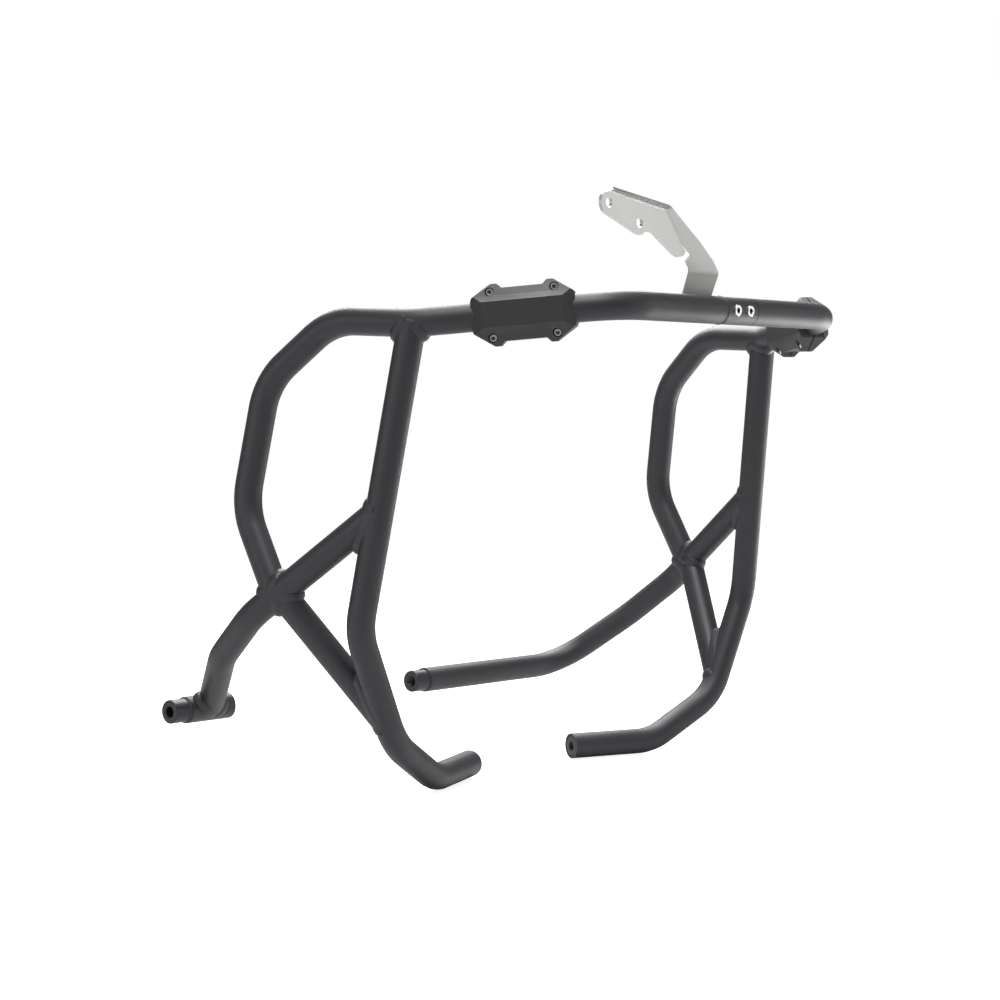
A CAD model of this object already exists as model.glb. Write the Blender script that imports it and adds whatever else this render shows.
import math

import bmesh
import bpy
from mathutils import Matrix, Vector, noise


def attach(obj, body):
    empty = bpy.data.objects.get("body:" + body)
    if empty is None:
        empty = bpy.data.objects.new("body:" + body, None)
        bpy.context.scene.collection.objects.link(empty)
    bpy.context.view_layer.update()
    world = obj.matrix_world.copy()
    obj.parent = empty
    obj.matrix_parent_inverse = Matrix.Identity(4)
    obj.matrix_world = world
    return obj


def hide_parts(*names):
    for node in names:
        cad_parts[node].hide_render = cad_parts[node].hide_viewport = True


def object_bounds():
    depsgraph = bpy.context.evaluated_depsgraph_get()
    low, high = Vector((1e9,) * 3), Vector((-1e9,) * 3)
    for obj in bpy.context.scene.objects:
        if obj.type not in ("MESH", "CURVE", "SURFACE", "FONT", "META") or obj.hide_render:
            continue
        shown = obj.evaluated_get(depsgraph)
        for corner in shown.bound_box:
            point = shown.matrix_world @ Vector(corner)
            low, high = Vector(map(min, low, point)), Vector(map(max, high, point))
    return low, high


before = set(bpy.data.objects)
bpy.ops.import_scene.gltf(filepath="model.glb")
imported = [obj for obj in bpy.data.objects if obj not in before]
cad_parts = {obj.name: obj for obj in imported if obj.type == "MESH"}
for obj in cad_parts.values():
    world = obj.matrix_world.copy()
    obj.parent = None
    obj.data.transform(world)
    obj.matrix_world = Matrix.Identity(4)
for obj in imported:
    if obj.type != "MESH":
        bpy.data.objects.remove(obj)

# The studio. A pale floor under the guards, a bright white room behind them and a few
# soft lamps, so that the dark tubes show a light line along their tops and undersides.
cad_low, cad_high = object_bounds()

# the middle of the cross tube, which the guards are laid out from
cross_middle = Vector((-0.019, -0.412, 0.367))

# the camera stands in front on the rider's right, a little lower than the cross tube
camera_place = cross_middle + Vector((-1.66716, -1.18482, -0.09681))
camera_turn = math.radians(41.18)
camera_dip = math.radians(-2.055)
focal_pixels = 2261.4
picture_pixels = 1000.0

camera_data = bpy.data.cameras.new("camera")
camera_data.sensor_width = 36.0
camera_data.lens = focal_pixels * camera_data.sensor_width / picture_pixels
camera_data.clip_end = 50.0
camera = bpy.data.objects.new("camera", camera_data)
camera.location = camera_place
looking = Vector((
    math.cos(camera_turn) * math.cos(camera_dip),
    math.sin(camera_turn) * math.cos(camera_dip),
    math.sin(camera_dip),
))
camera.rotation_euler = looking.to_track_quat("-Z", "Y").to_euler()
bpy.context.collection.objects.link(camera)
bpy.context.scene.camera = camera
bpy.context.scene.view_settings.view_transform = "Standard"

floor_gap = 0.001
floor_z = cad_low.z - floor_gap
floor_reach = 14.0
floor_mesh = bpy.data.meshes.new("studio_floor")
floor_mesh.from_pydata(
    [
        (-floor_reach, -floor_reach, floor_z), (floor_reach, -floor_reach, floor_z),
        (floor_reach, floor_reach, floor_z), (-floor_reach, floor_reach, floor_z),
    ],
    [],
    [(0, 1, 2, 3)],
)

# the floor glows for the camera, so that it is as pale as the room, and hardly for the guards
floor_paint = bpy.data.materials.new("studio_floor_paint")
floor_paint.use_nodes = True
floor_tree = floor_paint.node_tree
floor_shader = floor_tree.nodes["Principled BSDF"]
floor_shader.inputs["Base Color"].default_value = (0.55, 0.55, 0.55, 1.0)
floor_shader.inputs["Roughness"].default_value = 0.9
floor_shader.inputs["Specular IOR Level"].default_value = 0.1
floor_shader.inputs["Emission Strength"].default_value = 1.0
floor_seen = floor_tree.nodes.new("ShaderNodeLightPath")
floor_glow = floor_tree.nodes.new("ShaderNodeMix")
floor_glow.data_type = "RGBA"
floor_glow.inputs["A"].default_value = (0.07, 0.07, 0.07, 1.0)
floor_glow.inputs["B"].default_value = (0.86, 0.86, 0.86, 1.0)
floor_tree.links.new(floor_seen.outputs["Is Camera Ray"], floor_glow.inputs["Factor"])
floor_tree.links.new(floor_glow.outputs["Result"], floor_shader.inputs["Emission Color"])
floor_mesh.materials.append(floor_paint)
floor = bpy.data.objects.new("studio_floor", floor_mesh)
bpy.context.collection.objects.link(floor)


def soft_lamp(name, aim, stand, size, power, spread=180.0):
    """A square lamp that stands off by a vector from the point it is aimed at."""
    lamp_data = bpy.data.lights.new(name, "AREA")
    lamp_data.shape = "SQUARE"
    lamp_data.size = size
    lamp_data.energy = power
    lamp_data.spread = math.radians(spread)
    lamp = bpy.data.objects.new(name, lamp_data)
    lamp.location = aim + Vector(stand)
    lamp.rotation_euler = (-Vector(stand)).to_track_quat("-Z", "Y").to_euler()
    bpy.context.collection.objects.link(lamp)


guard_middle = (cad_low + cad_high) / 2
over_bracket = cross_middle + Vector((0.0, 0.0, 0.12))
near_shoulder = cross_middle + Vector((-0.25, 0.1, 0.0))
soft_lamp("top_lamp", guard_middle, (-0.7, -0.6, 1.9), size=1.1, power=42.0)
soft_lamp("crown_lamp", guard_middle, (0.25, 0.25, 1.9), size=0.9, power=26.0)
soft_lamp("back_lamp", guard_middle, (0.9, 1.0, 1.5), size=1.4, power=60.0)
soft_lamp("left_lamp", guard_middle, (-2.4, 1.0, 0.5), size=1.0, power=8.0)
soft_lamp("front_lamp", cross_middle, (1.3, -1.3, 0.1), size=1.6, power=9.0)
soft_lamp("low_lamp", over_bracket, (0.8, -0.05, -0.46), size=0.5, power=1.0, spread=60.0)
soft_lamp("near_lamp", near_shoulder, (-2.05, -0.2, 0.35), size=0.5, power=4.0)

# the room is white to the camera and dimmer to the guards, so that they keep their dark tone
room = bpy.data.worlds.new("studio_room")
room.use_nodes = True
room_tree = room.node_tree
room_light = room_tree.nodes["Background"]
room_light.inputs["Color"].default_value = (1.0, 1.0, 1.0, 1.0)
room_seen = room_tree.nodes.new("ShaderNodeLightPath")
room_strength = room_tree.nodes.new("ShaderNodeMapRange")
room_strength.inputs["To Min"].default_value = 0.26
room_strength.inputs["To Max"].default_value = 1.0
room_tree.links.new(room_seen.outputs["Is Camera Ray"], room_strength.inputs["Value"])
room_tree.links.new(room_strength.outputs["Result"], room_light.inputs["Strength"])
bpy.context.scene.world = room

# The two loops. Each is one length of 25 mm steel tube with a 2 mm wall, cold bent round
# one former, and runs from the joint in front round to the diagonal, which it is notched onto.
millimetre = 0.001
tube_radius = 12.5 * millimetre
tube_wall = 2.0 * millimetre
bore_radius = tube_radius - tube_wall
bend_radius = 65.0 * millimetre
right = -1.0
left = 1.0
both_sides = ((right, "right"), (left, "left"))

# where the straight middle lines of the left guard meet, from the middle of the cross tube
corner = Vector((0.161, 0.0, 0.0))
shoulder = Vector((0.262, 0.144, -0.015))
rear_top = Vector((0.276, 0.226, -0.011))
rear_drop = Vector((0.293, 0.291, -0.064))
rear_low = Vector((0.302, 0.311, -0.176))
down_bend = Vector((0.286, 0.185, -0.281))
diagonal_top = shoulder.lerp(down_bend, 0.605)
diagonal_out = Vector((0.310, 0.294, -0.271))
crossing = diagonal_top.lerp(diagonal_out, 0.8)

# the joint's sleeve reaches from the first to the second of these, and the gap parts it
# from the end of the left tube
sleeve_start = -17.0 * millimetre
sleeve_end = 28.0 * millimetre
joint_gap = 0.8 * millimetre


def grain_group():
    """A fine grain, drawn out into lines where wanted, and a slow mottle over it."""
    group = bpy.data.node_groups.new("fine_grain", "ShaderNodeTree")
    for label, size in (("Grain Size", 1200.0), ("Mottle Size", 30.0)):
        socket = group.interface.new_socket(label, in_out="INPUT", socket_type="NodeSocketFloat")
        socket.default_value = size
    lines = group.interface.new_socket("Lines", in_out="INPUT", socket_type="NodeSocketVector")
    lines.default_value = (1.0, 1.0, 1.0)
    group.interface.new_socket("Height", in_out="OUTPUT", socket_type="NodeSocketFloat")
    group.interface.new_socket("Mottle", in_out="OUTPUT", socket_type="NodeSocketFloat")
    inside = group.nodes.new("NodeGroupInput")
    outside = group.nodes.new("NodeGroupOutput")
    place = group.nodes.new("ShaderNodeTexCoord")
    fine = group.nodes.new("ShaderNodeTexNoise")
    fine.inputs["Detail"].default_value = 3.0
    slow = group.nodes.new("ShaderNodeTexNoise")
    slow.inputs["Detail"].default_value = 4.0
    drawn = group.nodes.new("ShaderNodeVectorMath")
    drawn.operation = "MULTIPLY"
    link = group.links.new
    link(place.outputs["Object"], drawn.inputs[0])
    link(inside.outputs["Lines"], drawn.inputs[1])
    link(drawn.outputs["Vector"], fine.inputs["Vector"])
    link(place.outputs["Object"], slow.inputs["Vector"])
    link(inside.outputs["Grain Size"], fine.inputs["Scale"])
    link(inside.outputs["Mottle Size"], slow.inputs["Scale"])
    link(fine.outputs["Fac"], outside.inputs["Height"])
    link(slow.outputs["Fac"], outside.inputs["Mottle"])
    return group


fine_grain = grain_group()


def grained(
    name, dark, light, smooth, rough, grain_size, bump, metal=0.0, mottle_size=30.0, lines=(1.0, 1.0, 1.0)
):
    """A finish that drifts between two colours and two roughnesses and has a fine grain or lines."""
    mottle_low = 0.3
    mottle_high = 0.7
    bump_strength = 0.6
    skin = bpy.data.materials.new(name)
    skin.use_nodes = True
    tree = skin.node_tree
    shader = tree.nodes["Principled BSDF"]
    shader.inputs["Metallic"].default_value = metal
    grain = tree.nodes.new("ShaderNodeGroup")
    grain.node_tree = fine_grain
    grain.inputs["Grain Size"].default_value = grain_size
    grain.inputs["Mottle Size"].default_value = mottle_size
    grain.inputs["Lines"].default_value = lines
    colours = tree.nodes.new("ShaderNodeMix")
    colours.data_type = "RGBA"
    colours.inputs["A"].default_value = (*dark, 1.0)
    colours.inputs["B"].default_value = (*light, 1.0)
    gloss = tree.nodes.new("ShaderNodeMapRange")
    gloss.inputs["From Min"].default_value = mottle_low
    gloss.inputs["From Max"].default_value = mottle_high
    gloss.inputs["To Min"].default_value = smooth
    gloss.inputs["To Max"].default_value = rough
    relief = tree.nodes.new("ShaderNodeBump")
    relief.inputs["Strength"].default_value = bump_strength
    relief.inputs["Distance"].default_value = bump
    link = tree.links.new
    link(grain.outputs["Mottle"], colours.inputs["Factor"])
    link(colours.outputs["Result"], shader.inputs["Base Color"])
    link(grain.outputs["Mottle"], gloss.inputs["Value"])
    link(gloss.outputs["Result"], shader.inputs["Roughness"])
    link(grain.outputs["Height"], relief.inputs["Height"])
    link(relief.outputs["Normal"], shader.inputs["Normal"])
    return skin


powder_coat = grained(
    "dark_powder_coat", dark=(0.012, 0.0117, 0.0152), light=(0.017, 0.0163, 0.0208),
    smooth=0.46, rough=0.54, grain_size=1500.0, bump=0.10 * millimetre,
)


def middle_line(points):
    """A tube's middle line as (point, direction) pairs, with each corner turned into its bend."""
    bend_steps = 26
    line = [(points[0], (points[1] - points[0]).normalized())]
    for before, bend, after in zip(points, points[1:], points[2:]):
        into = (bend - before).normalized()
        out = (after - bend).normalized()
        turn = into.angle(out)
        inward = (out - into * into.dot(out)).normalized()
        middle = bend - into * bend_radius * math.tan(turn / 2) + inward * bend_radius
        for k in range(bend_steps + 1):
            angle = turn * k / bend_steps
            across = into * math.sin(angle) - inward * math.cos(angle)
            heading = into * math.cos(angle) + inward * math.sin(angle)
            line.append((middle + across * bend_radius, heading))
    line.append((points[-1], (points[-1] - points[-2]).normalized()))
    return line


def nearest_on(line, point):
    """The nearest point of a middle line."""
    best, found = math.inf, None
    for (a, _), (b, _) in zip(line, line[1:]):
        along = b - a
        part = max(0.0, min(1.0, (point - a).dot(along) / along.length_squared))
        spot = a + along * part
        if (point - spot).length < best:
            best, found = (point - spot).length, spot
    return found


def leaves_skin(start, along, out, line):
    """How far a line beside the branch, from start, runs before it leaves the tube on the line."""
    halvings = 24
    low = 0.0
    high = 90.0 * millimetre
    for _ in range(halvings):
        middle = (low + high) / 2
        point = start + along * middle + out
        if (point - nearest_on(line, point)).length > tube_radius:
            high = middle
        else:
            low = middle
    return high


def tube_rings(line, radius, start_on, end_on, around):
    """Rings of points along the line; an end on another tube is notched to that tube's skin."""
    direction = line[0][1]
    across = direction.orthogonal().normalized()
    rings = []
    for k, (point, heading) in enumerate(line):
        across.rotate(direction.rotation_difference(heading))
        direction = heading
        up = direction.cross(across)
        ring = []
        for m in range(around):
            angle = 2 * math.pi * m / around
            out = (across * math.cos(angle) + up * math.sin(angle)) * radius
            place = point + out
            if k == 0 and start_on:
                place = place + direction * leaves_skin(point, direction, out, start_on)
            if k == len(line) - 1 and end_on:
                place = place - direction * leaves_skin(point, -direction, out, end_on)
            ring.append(place)
        rings.append(ring)
    return rings


def bent_tube(side, node, points, start_on=None, end_on=None):
    """One tube of a guard, drawn for the left side and mirrored for the right."""
    around = 48
    sharp_from = math.radians(40.0)
    line = middle_line(points)
    outer = tube_rings(line, tube_radius, start_on, end_on, around)
    inner = tube_rings(line, bore_radius, start_on, end_on, around)
    rings = outer + inner[::-1]
    flip = Vector((side, 1.0, 1.0))
    places = [place * flip + cross_middle for ring in rings for place in ring]
    faces = []
    for n in range(len(rings)):
        one, two = n * around, (n + 1) % len(rings) * around
        for m in range(around):
            after = (m + 1) % around
            face = (one + m, one + after, two + after, two + m)
            faces.append(face if side == left else face[::-1])
    mesh = bpy.data.meshes.new(node + "_coated")
    mesh.from_pydata(places, [], faces)
    mesh.materials.append(powder_coat)
    for face in mesh.polygons:
        face.use_smooth = True
    mesh.set_sharp_from_angle(angle=sharp_from)
    tube = bpy.data.objects.new(node + "_coated", mesh)
    bpy.context.collection.objects.link(tube)
    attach(tube, "root")
    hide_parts(node)


strut_line = middle_line([diagonal_top, diagonal_out])
loop_starts = {right: -sleeve_start, left: sleeve_end + joint_gap}
for side, side_name in both_sides:
    loop_start = Vector((loop_starts[side], 0.0, 0.0))
    bent_tube(
        side, side_name + "_loop_tube",
        [loop_start, corner, shoulder, rear_top, rear_drop, rear_low, crossing], end_on=strut_line,
    )

# The down tubes. They are notched onto the loops behind the shoulders, drop in front of
# the engine and turn in under it, and each ends in a threaded insert for the lower mount.
low_bend = Vector((0.237, 0.190, -0.383))
low_turn = Vector((0.162, 0.211, -0.424))
low_end = Vector((0.076, 0.2456, -0.424))

rail_line = middle_line([corner, shoulder, rear_top, rear_drop])
for side, side_name in both_sides:
    bent_tube(
        side, side_name + "_down_tube",
        [shoulder, down_bend, low_bend, low_turn, low_end], start_on=rail_line,
    )

# The diagonals. They lean out from the down tubes, carry the ends of the loops and turn
# in to the rear mounts: the left one runs on as a long tail, the right one ends at its bush.
diagonal_turn = Vector((0.299, 0.345, -0.311))
rear_corner = Vector((0.255, 0.412, -0.367))
left_tail_end = Vector((0.038, 0.412, -0.367))
bush_inner = Vector((0.234, 0.412, -0.367))
bush_outer = Vector((0.286, 0.412, -0.367))

drop_line = middle_line([shoulder, down_bend])
bush_line = middle_line([bush_inner, bush_outer])
bent_tube(
    right, "right_diagonal_tube", [diagonal_top, diagonal_out, diagonal_turn, rear_corner],
    start_on=drop_line, end_on=bush_line,
)
bent_tube(
    left, "left_diagonal_tube",
    [diagonal_top, diagonal_out, diagonal_turn, rear_corner, left_tail_end], start_on=drop_line,
)

# The braces. A straight length of the same tube, notched at both ends, ties each diagonal
# back to the bottom of its down tube.
brace_top = diagonal_top.lerp(diagonal_out, 0.77)
brace_foot = down_bend.lerp(low_bend, 0.82)

leg_line = middle_line([shoulder, down_bend, low_bend, low_turn])
for side, side_name in both_sides:
    bent_tube(
        side, side_name + "_brace_tube", [brace_top, brace_foot], start_on=strut_line, end_on=leg_line
    )

# The weld beads. Every notched end is welded all round by hand, in short overlapping
# puddles of steel, and the bosses and the sleeve have smaller beads. The powder coat covers
# them and is a little smoother there.
weld_leg = 5.5 * millimetre
ripple_pitch = 3.0 * millimetre


def seam_round(line, start, end):
    """Where a straight branch from start towards end meets the skin of the tube on the line.

    Each point comes as its root, its toe on the branch, its toe on the tube and its outward
    direction. The toes lie on the skins, and reach farther where these meet at a sharp angle.
    """
    count = 360
    opening_gain = 1.4
    least_opening = 0.5
    along = (end - start).normalized()
    across = along.orthogonal().normalized()
    up = along.cross(across)
    meeting = []
    for k in range(count):
        angle = 2 * math.pi * k / count
        out = across * math.cos(angle) + up * math.sin(angle)
        rise = leaves_skin(start, along, out * tube_radius, line)
        meeting.append((start + along * rise + out * tube_radius, out))
    seam = []
    for k, (point, out) in enumerate(meeting):
        heading = (meeting[(k + 1) % count][0] - point).normalized()
        lean = (point - nearest_on(line, point)).normalized()
        up_branch = heading.cross(out).normalized()
        if up_branch.dot(lean) < 0.0:
            up_branch = -up_branch
        off_tube = heading.cross(lean).normalized()
        if off_tube.dot(out) < 0.0:
            off_tube = -off_tube
        opening = opening_gain * (up_branch - off_tube).length / 2
        reach = weld_leg / max(least_opening, min(1.0, opening))
        branch_toe = point + up_branch * reach
        middle = start + along * (branch_toe - start).dot(along)
        branch_toe = middle + (branch_toe - middle).normalized() * tube_radius
        tube_toe = point + off_tube * reach
        middle = nearest_on(line, tube_toe)
        tube_toe = middle + (tube_toe - middle).normalized() * tube_radius
        seam.append((point, branch_toe, tube_toe, (out + lean).normalized()))
    return seam


def ring_seam(middle, axis, radius, leg):
    """A plain round seam about an axis, with its toes a leg away on both sides."""
    count = 90
    across = axis.orthogonal().normalized()
    up = axis.cross(across)
    seam = []
    for k in range(count):
        angle = 2 * math.pi * k / count
        out = across * math.cos(angle) + up * math.sin(angle)
        point = middle + out * radius
        seam.append((point, point - axis * leg, point + axis * leg, out))
    return seam


def weld_bead(side, name, seams, crown, skin):
    """A softly rippled bead along each closed seam, crowned in its middle and sunk at its toes."""
    around = 8
    puddle_steps = 6
    least_puddles = 8
    root_depth = 1.6 * millimetre
    toe_depth = 0.5 * millimetre
    ripple_share = 0.2
    ripple_lean = 0.4 * ripple_pitch
    wander_share = 0.16
    wander_scale = 110.0
    smallest_step = 1e-9
    shape = bmesh.new()
    flip = Vector((side, 1.0, 1.0))
    for seam in seams:
        lengths = [0.0]
        for a, b in zip(seam, seam[1:] + seam[:1]):
            lengths.append(lengths[-1] + (b[0] - a[0]).length)
        samples = max(least_puddles, round(lengths[-1] / ripple_pitch)) * puddle_steps
        rings = []
        k = 0
        for n in range(samples):
            run = lengths[-1] * n / samples
            while lengths[k + 1] < run:
                k += 1
            part = (run - lengths[k]) / max(lengths[k + 1] - lengths[k], smallest_step)
            after = seam[(k + 1) % len(seam)]
            root, branch_toe, tube_toe, outward = (a.lerp(b, part) for a, b in zip(seam[k], after))
            along = (after[0] - seam[k][0]).normalized()
            puddle = math.sin(math.pi * (n % puddle_steps + 0.5) / puddle_steps)
            width = 1.0 + wander_share * noise.noise(root * wander_scale)
            rise = crown * (1.0 - ripple_share + ripple_share * puddle) * width
            ring = [shape.verts.new((root - outward * root_depth) * flip + cross_middle)]
            for m in range(around + 1):
                share = m / around
                bulge = 4.0 * share * (1.0 - share)
                place = branch_toe.lerp(tube_toe, 0.5 + (share - 0.5) * width)
                place = place + outward * (bulge * (rise + toe_depth) - toe_depth)
                place = place + along * (bulge * ripple_lean)
                ring.append(shape.verts.new(place * flip + cross_middle))
            rings.append(ring)
        for one, two in zip(rings, rings[1:] + rings[:1]):
            for m in range(around + 2):
                after = (m + 1) % (around + 2)
                shape.faces.new((one[m], one[after], two[after], two[m]))
    bmesh.ops.recalc_face_normals(shape, faces=shape.faces)
    mesh = bpy.data.meshes.new(name)
    shape.to_mesh(mesh)
    shape.free()
    for face in mesh.polygons:
        face.use_smooth = True
    mesh.materials.append(skin)
    bead = bpy.data.objects.new(name, mesh)
    bpy.context.collection.objects.link(bead)
    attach(bead, "root")
    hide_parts("left_welds" if side == left else "right_welds")


weld_coat = grained(
    "coated_weld", dark=(0.012, 0.0117, 0.0152), light=(0.020, 0.0193, 0.0238),
    smooth=0.44, rough=0.54, grain_size=900.0, bump=0.06 * millimetre,
)
guard_seams = [
    seam_round(rail_line, shoulder, down_bend),
    seam_round(drop_line, diagonal_top, diagonal_out),
    seam_round(strut_line, crossing, rear_low),
    seam_round(strut_line, brace_top, brace_foot),
    seam_round(leg_line, brace_foot, brace_top),
]
bush_seam = seam_round(bush_line, rear_corner, diagonal_turn)
guard_crown = 0.6 * millimetre
weld_bead(left, "left_weld_beads", guard_seams, guard_crown, weld_coat)
weld_bead(right, "right_weld_beads", guard_seams + [bush_seam], guard_crown, weld_coat)

sideways = Vector((1.0, 0.0, 0.0))
boss_step = sideways * 0.8 * millimetre
boss_seam_radius = 11.2 * millimetre
boss_leg = 1.6 * millimetre
boss_crown = 1.1 * millimetre
for side, name, tube_end in (
    (left, "left_boss_bead", left_tail_end), (right, "right_boss_bead", bush_outer),
):
    boss_seam = ring_seam(tube_end + boss_step, sideways, boss_seam_radius, boss_leg)
    weld_bead(side, name, [boss_seam], boss_crown, weld_coat)

sleeve_crown = 0.5 * millimetre
sleeve_seam = ring_seam(sideways * -sleeve_start, sideways, tube_radius, boss_leg)
weld_bead(right, "sleeve_bead", [sleeve_seam], sleeve_crown, weld_coat)

# The front inserts. Each is a turned steel plug, pressed and welded into the open lower end
# of a down tube and tapped for the bolt that holds it to the engine.
insert_length = 20.0 * millimetre
insert_hole = 8.5 * millimetre
insert_pitch = 1.25 * millimetre
insert_chamfer = 0.8 * millimetre


def turned(name, node, skin, start, along, profile, side=left, hollow=True, inside=None):
    """A turned piece, from a profile of (run, radius, sides) that is a hexagon where sides is 6.

    A hollow piece's profile closes on itself. The last two walls of a screw, which are its
    socket, take the material inside.
    """
    around = 48
    sharp_from = math.radians(28.0)
    same_place = 0.001 * millimetre
    across = along.orthogonal().normalized()
    up = along.cross(across)
    flip = Vector((side, 1.0, 1.0))
    shape = bmesh.new()
    rings = []
    for run, radius, sides in profile:
        ring = []
        for m in range(around):
            angle = 2 * math.pi * m / around
            reach = radius
            if sides:
                wedge = 2 * math.pi / sides
                reach = radius / math.cos(angle % wedge - wedge / 2)
            out = across * math.cos(angle) + up * math.sin(angle)
            ring.append(shape.verts.new((start + along * run + out * reach) * flip + cross_middle))
        rings.append(ring)
    first_inside = len(rings) - 3
    for n, (one, two) in enumerate(zip(rings, rings[1:] + (rings[:1] if hollow else []))):
        for m in range(around):
            after = (m + 1) % around
            wall = shape.faces.new((one[m], one[after], two[after], two[m]))
            wall.material_index = 1 if inside and n >= first_inside else 0
    bmesh.ops.remove_doubles(shape, verts=shape.verts, dist=same_place)
    bmesh.ops.recalc_face_normals(shape, faces=shape.faces)
    mesh = bpy.data.meshes.new(name)
    shape.to_mesh(mesh)
    shape.free()
    mesh.materials.append(skin)
    if inside:
        mesh.materials.append(inside)
    for face in mesh.polygons:
        face.use_smooth = True
    mesh.set_sharp_from_angle(angle=sharp_from)
    piece = bpy.data.objects.new(name, mesh)
    bpy.context.collection.objects.link(piece)
    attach(piece, "root")
    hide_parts(node)


def threaded_plug(length, outer, hole, pitch, chamfer):
    """The section of a plug with a threaded hole, from its inner end to its open face."""
    thread_depth = 0.54 * pitch
    profile = [
        (0.0, hole / 2, 0), (0.0, outer, 0), (length - chamfer, outer, 0),
        (length, outer - chamfer, 0), (length, hole / 2 + chamfer, 0),
    ]
    run = length - chamfer
    while run > pitch:
        profile.append((run, hole / 2, 0))
        profile.append((run - pitch / 2, hole / 2 + thread_depth, 0))
        run -= pitch
    return profile


boss_steel = grained(
    "coated_boss", dark=(0.014, 0.0137, 0.017), light=(0.026, 0.025, 0.029),
    smooth=0.36, rough=0.46, grain_size=900.0, bump=0.03 * millimetre, metal=0.3,
)
insert_line = (low_end - low_turn).normalized()
insert_section = threaded_plug(insert_length, bore_radius, insert_hole, insert_pitch, insert_chamfer)
for side, side_name in both_sides:
    turned(
        side_name + "_threaded_insert", side_name + "_front_insert", boss_steel,
        low_end - insert_line * insert_length, insert_line, insert_section, side,
    )

# The rear mounts. On the right a short bush of the same tube stands across the end of the
# diagonal with a stepped boss pressed in; on the left the boss closes the end of the tail.
boss_radius = 11.0 * millimetre
boss_stands = 19.0 * millimetre
boss_hole = 10.5 * millimetre
boss_tail = 18.0 * millimetre
boss_pitch = 1.5 * millimetre
boss_rim = 0.6 * millimetre
bush_length = bush_outer.x - bush_inner.x
boss_length = bush_length + boss_stands


def dressed(node, skin, round_edges=0.0):
    """A copy of a solid, shaded smooth on its rounds and with its edges eased where wanted."""
    flat_within = math.radians(1.0)
    sharp_from = math.radians(30.0)
    same_place = 0.002 * millimetre
    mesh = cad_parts[node].data.copy()
    mesh.name = node + "_dressed"
    shape = bmesh.new()
    shape.from_mesh(mesh)
    bmesh.ops.remove_doubles(shape, verts=shape.verts, dist=same_place)
    if round_edges > 0.0:
        bmesh.ops.dissolve_limit(shape, angle_limit=flat_within, verts=shape.verts, edges=shape.edges)
        sharp = [
            e for e in shape.edges if len(e.link_faces) == 2 and e.calc_face_angle(0.0) > sharp_from
        ]
        bmesh.ops.bevel(
            shape, geom=sharp, offset=round_edges, offset_type="OFFSET", segments=2,
            profile=0.5, affect="EDGES", clamp_overlap=True,
        )
    shape.to_mesh(mesh)
    shape.free()
    mesh.materials.clear()
    mesh.materials.append(skin)
    for face in mesh.polygons:
        face.material_index = 0
        face.use_smooth = True
    mesh.set_sharp_from_angle(angle=sharp_from)
    piece = bpy.data.objects.new(node + "_dressed", mesh)
    even = piece.modifiers.new("even_shading", "WEIGHTED_NORMAL")
    even.keep_sharp = True
    even.weight = 100
    bpy.context.collection.objects.link(piece)
    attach(piece, "root")
    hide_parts(node)


dressed("right_rear_bush", powder_coat)
turned(
    "right_stepped_boss", "right_rear_boss", boss_steel, bush_inner, sideways,
    [
        (0.0, boss_hole / 2, 0), (0.0, bore_radius, 0), (bush_length, bore_radius, 0),
        (bush_length, boss_radius, 0), (boss_length - boss_rim, boss_radius, 0),
        (boss_length, boss_radius - boss_rim, 0), (boss_length, boss_hole / 2 + boss_rim, 0),
        (boss_length - boss_rim, boss_hole / 2, 0),
    ],
    right,
)
left_boss = threaded_plug(boss_tail + boss_stands, boss_radius, boss_hole, boss_pitch, boss_rim)
left_boss[1:2] = [(0.0, bore_radius, 0), (boss_tail, bore_radius, 0), (boss_tail, boss_radius, 0)]
turned(
    "left_tapped_boss", "left_rear_boss", boss_steel,
    left_tail_end + sideways * boss_tail, -sideways, left_boss,
)

# The front joint. A sleeve of the same tube is welded to the right cross tube, a solid
# spigot inside it reaches into both, and two long socket screws clamp all with the bracket.
zinc = grained(
    "bright_zinc", dark=(0.72, 0.72, 0.73), light=(0.82, 0.82, 0.83),
    smooth=0.20, rough=0.30, grain_size=900.0, bump=0.02 * millimetre, metal=1.0, mottle_size=200.0,
)
socket_steel = grained(
    "socket_steel", dark=(0.12, 0.12, 0.125), light=(0.2, 0.2, 0.21),
    smooth=0.4, rough=0.5, grain_size=900.0, bump=0.02 * millimetre, metal=1.0,
)
dressed("joint_sleeve", powder_coat)
dressed("joint_spigot", zinc)
joint_middle = (sleeve_start + sleeve_end) / 2
joint_pitch = 19.5 * millimetre
joint_seat = 9.5 * millimetre
joint_screw = 6.0 * millimetre
joint_head = 0.66 * joint_screw
joint_tip = 1.0 * millimetre
sheet = 3.0 * millimetre
nut_rise = tube_radius + sheet
nut_height = 0.8
backwards = Vector((0.0, 1.0, 0.0))


def socket_screw(size, grip, head_height):
    """The section of a socket head screw, from its tip to the floor of its hexagon socket."""
    head = 1.65 * size / 2
    key = 0.39 * size
    edge = 0.08 * size
    rim = key + 1.2 * edge
    top = -head_height
    socket_floor = 0.25 * top
    floor_middle = 0.2 * top
    return [
        (grip, 0.0, 0), (grip, size / 2 - edge, 0), (grip - edge, size / 2, 0), (0.0, size / 2, 0),
        (0.0, head, 0), (top + edge, head, 0), (top, head - edge, 0), (top, rim, 0),
        (top + edge, key, 6), (socket_floor, key, 6), (floor_middle, 0.0, 0),
    ]


def hexagon_nut(size):
    """The section of a nut with rounded faces: its flats, then its threaded hole."""
    flat = 1.9 * size / 2 * math.cos(math.pi / 6)
    tall = nut_height * size
    edge = 0.1 * size
    return [
        (0.0, size / 2, 0), (0.0, flat - edge, 0), (edge, flat, 6), (tall - edge, flat, 6),
        (tall, flat - edge, 0), (tall, size / 2, 0),
    ]


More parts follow.
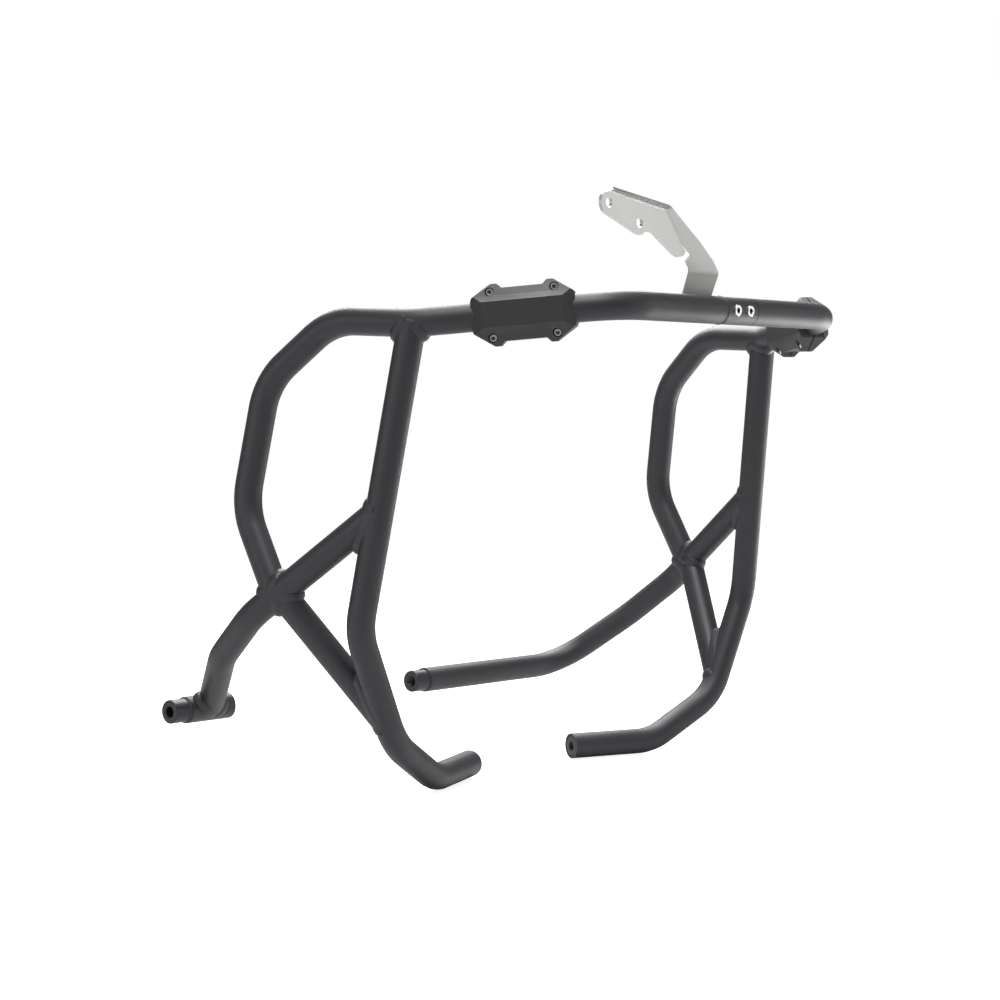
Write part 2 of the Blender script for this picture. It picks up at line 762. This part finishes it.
joint_grip = joint_seat + nut_rise + nut_height * joint_screw + joint_tip
for place, where in ((-0.5, "right"), (0.5, "left")):
    screw_x = sideways * (joint_middle + place * joint_pitch)
    turned(
        where + "_joint_screw", "joint_screws", zinc, screw_x - backwards * joint_seat,
        backwards, socket_screw(joint_screw, joint_grip, joint_head), hollow=False, inside=socket_steel,
    )
    turned(
        where + "_joint_nut", "joint_nuts", zinc, screw_x + backwards * nut_rise,
        backwards, hexagon_nut(joint_screw),
    )

# The mounting bracket. One blank of brushed 3 mm stainless sheet, cut round and folded: a
# foot under the joint's nuts, a leg, a broad strap with a lip along its top, and a plate
# with two holes. Its corners are broken by hand and its folds have a small radius.
brushed = grained(
    "brushed_sheet", dark=(0.48, 0.475, 0.465), light=(0.58, 0.575, 0.56),
    smooth=0.38, rough=0.48, grain_size=2600.0, bump=0.08 * millimetre, metal=1.0, lines=(0.03, 0.4, 1.0),
)
plate_y = 20.0 * millimetre
bracket_hole = 4.5 * millimetre
hole_land = 10.5 * millimetre
hole_spacing = 45.0 * millimetre
hole_slope = math.radians(19.0)
hole_low = Vector((-0.108, plate_y, 0.073))
hole_high = hole_low + Vector((-math.cos(hole_slope), 0.0, math.sin(hole_slope))) * hole_spacing
fold_top = Vector((-0.070, plate_y, 0.087))
fold_low = Vector((-0.041, plate_y, 0.052))
fold_end = fold_top.lerp(fold_low, 0.8)
lip_end = Vector((-0.1515, plate_y, 0.0979))
lip_taper = 0.8
strap_top = Vector((-0.066, 0.0155, 0.0896))
lip_edge = lip_end + (strap_top - fold_top) * lip_taper
knee_left = Vector((-0.031, 0.022, 0.036))
knee_right = Vector((-0.006, 0.008, 0.034))
foot_middle = tube_radius + sheet / 2
foot_half = 9.0 * millimetre
foot_top = Vector((-0.012, foot_middle, foot_half))
foot_low = Vector((-0.012, foot_middle, -foot_half))
leg_top = Vector((-0.036, foot_middle + 0.0135, foot_half))
leg_low = Vector((-0.034, foot_middle + 0.0125, -foot_half))
foot_end = sleeve_end + 1.0 * millimetre
fold_radius = 2.4 * millimetre
edge_break = 0.35 * millimetre


def round_arc(middle, radius, start, stop, steps):
    """Points on an arc in the plate's plane, seen from the front, from one angle to another."""
    points = []
    for k in range(steps + 1):
        angle = math.radians(start + (stop - start) * k / steps)
        points.append(middle + Vector((math.cos(angle), 0.0, math.sin(angle))) * radius)
    return points


def round_hole(middle, radius):
    """The outline of a hole in the plate or the foot, as twelve points."""
    return round_arc(middle, radius, 0, -330, 11)


def onto_plane(point, a, b, c):
    """The point moved square onto the plane through three others."""
    normal = (b - a).cross(c - a).normalized()
    return point - normal * (point - a).dot(normal)


plate_under = [
    Vector((x, plate_y, z)) for x, z in (
        (-0.044, 0.048), (-0.048, 0.0468), (-0.052, 0.0465), (-0.058, 0.048),
        (-0.078, 0.059), (-0.088, 0.065), (-0.093, 0.0662), (-0.098, 0.066),
    )
]
plate_rim = [lip_end, fold_top, fold_end, fold_low] + plate_under
plate_rim += round_arc(hole_low, hole_land, -50, -108, 6)
plate_rim += round_arc(hole_high, hole_land, -110, -240, 10)
strap_low, strap_turn, knee_in, knee_out, strap_rise, strap_side, strap_upper = (
    onto_plane(point, fold_top, fold_low, knee_right)
    for point in (
        Vector((-0.035, 0.018, 0.049)), Vector((-0.037, 0.022, 0.043)), knee_left, knee_right,
        Vector((-0.0145, 0.008, 0.0445)), Vector((-0.032, 0.010, 0.061)), Vector((-0.048, 0.013, 0.0745)),
    )
)
leg_upper, leg_lower = (onto_plane(point, knee_left, knee_right, foot_top) for point in (leg_top, leg_low))
foot_holes = [
    round_hole(Vector((joint_middle + place * joint_pitch, foot_middle, 0.0)), joint_screw / 2)
    for place in (-0.5, 0.5)
]

# the plate, the strap, the lip, the leg and the foot, each as its outline and its holes
panels = [
    (plate_rim, [round_hole(hole, bracket_hole) for hole in (hole_low, hole_high)]),
    (
        [
            fold_top, fold_end, strap_low, strap_turn, knee_in, knee_out,
            strap_rise, strap_side, strap_upper, strap_top,
        ],
        [],
    ),
    ([lip_end, fold_top, strap_top, lip_edge], []),
    ([knee_out, knee_in, leg_upper, leg_lower, foot_low, foot_top], []),
    (
        [
            foot_top, foot_low,
            Vector((foot_end, foot_middle, -foot_half)), Vector((foot_end, foot_middle, foot_half)),
        ],
        foot_holes,
    ),
]
shape = bmesh.new()
corners = {}


def corner_of(point):
    """The mesh's corner at a point, made once for all the panels that meet there."""
    key = tuple(round(c, 6) for c in point)
    if key not in corners:
        corners[key] = shape.verts.new(point + cross_middle)
    return corners[key]


def side_between(one, two):
    """The edge between two corners, made once for the two panels that share it."""
    return shape.edges.get((one, two)) or shape.edges.new((one, two))


for rim_points, holes in panels:
    sides = []
    for outline in [rim_points] + holes:
        ring = [corner_of(point) for point in outline]
        sides += [side_between(one, two) for one, two in zip(ring, ring[1:] + ring[:1])]
    bmesh.ops.triangle_fill(shape, use_beauty=True, use_dissolve=False, edges=sides)
flat_within = math.radians(0.5)
fold_from = math.radians(8.0)
bmesh.ops.dissolve_limit(shape, angle_limit=flat_within, verts=shape.verts, edges=shape.edges)
bmesh.ops.recalc_face_normals(shape, faces=shape.faces)
folds = [e for e in shape.edges if len(e.link_faces) == 2 and e.calc_face_angle(0.0) > fold_from]
bmesh.ops.bevel(
    shape, geom=folds, offset=fold_radius, offset_type="OFFSET", segments=6, profile=0.5, affect="EDGES"
)
bracket_mesh = bpy.data.meshes.new("folded_bracket")
shape.to_mesh(bracket_mesh)
shape.free()
bracket_mesh.materials.append(brushed)
for face in bracket_mesh.polygons:
    face.use_smooth = True
bracket = bpy.data.objects.new("folded_bracket", bracket_mesh)
bpy.context.collection.objects.link(bracket)
thick = bracket.modifiers.new("sheet", "SOLIDIFY")
thick.thickness = sheet
thick.offset = 0.0
thick.use_even_offset = True
broken = bracket.modifiers.new("broken_edges", "BEVEL")
broken.width = edge_break
broken.segments = 2
broken.limit_method = "ANGLE"
broken.angle_limit = math.radians(50.0)
even = bracket.modifiers.new("even_shading", "WEIGHTED_NORMAL")
even.keep_sharp = True
even.weight = 100
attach(bracket, "root")
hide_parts("mounting_bracket")

# The sliders. Each is a block of black plastic in two halves, machined with flat facets,
# that grips the loop in front of the shoulder with four socket screws and nuts.
plastic = grained(
    "black_plastic", dark=(0.012, 0.012, 0.013), light=(0.018, 0.018, 0.02),
    smooth=0.5, rough=0.62, grain_size=1500.0, bump=0.06 * millimetre, lines=(0.04, 0.04, 1.0),
)
slider_edge = 0.5 * millimetre
slider_along = (corner - shoulder).normalized()
slider_outward = Vector((-slider_along.y, slider_along.x, 0.0)).normalized()
slider_up = slider_along.cross(slider_outward)
slider_middle = corner - slider_along * 80.0 * millimetre
slider_pitch = 55.0 * millimetre
slider_rise = 19.5 * millimetre
slider_screw = 4.0 * millimetre
slider_tip = 0.5 * millimetre
screw_seat = 3.0 * millimetre
nut_seat = 5.0 * millimetre
slider_grip = screw_seat + nut_seat + nut_height * slider_screw + slider_tip
for side, side_name in both_sides:
    dressed(side_name + "_slider_cover", plastic, slider_edge)
    dressed(side_name + "_slider_back", plastic, slider_edge)
    for number, (end, level) in enumerate(((-1, -1), (-1, 1), (1, -1), (1, 1)), 1):
        axis = slider_middle + slider_along * end * slider_pitch / 2 + slider_up * level * slider_rise
        turned(
            f"{side_name}_slider_screw_{number}", side_name + "_slider_screws", zinc,
            axis + slider_outward * screw_seat, -slider_outward,
            socket_screw(slider_screw, slider_grip, slider_screw), side, hollow=False, inside=socket_steel,
        )
        turned(
            f"{side_name}_slider_nut_{number}", side_name + "_slider_nuts", zinc,
            axis - slider_outward * nut_seat, -slider_outward, hexagon_nut(slider_screw), side,
        )
